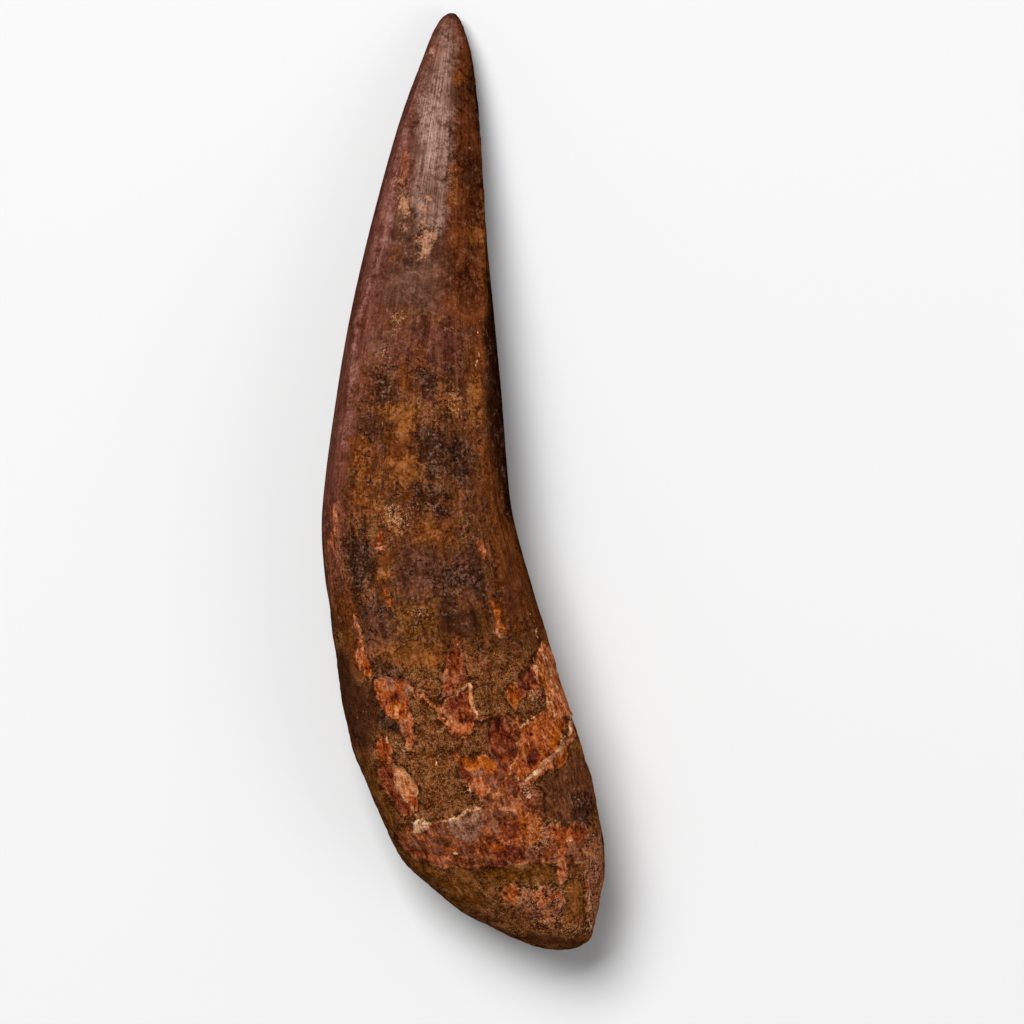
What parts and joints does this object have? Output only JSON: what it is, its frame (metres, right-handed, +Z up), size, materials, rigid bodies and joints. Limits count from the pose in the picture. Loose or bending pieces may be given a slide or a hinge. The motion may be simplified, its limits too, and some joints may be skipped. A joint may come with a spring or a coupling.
{
  "type": "fossil spinosaurus tooth",
  "caption": "Long curved fossil tooth, conical crown fused to a swollen, crusted root, lying on its side.",
  "frame": {"origin": "below the middle of the tooth's box, on the surface that it lies on", "axes": "+Y along the tooth from the broken root to the tip, +X towards the concave edge, +Z up through the side that shows"},
  "size_m": [0.0454, 0.15, 0.028],
  "materials": {
    "fossil": "satin mineralised enamel on the crown, pitted and crusted stone on the root"
  },
  "bodies": {
    "root": {"tooth": "fossil"}
  },
  "joints": []
}
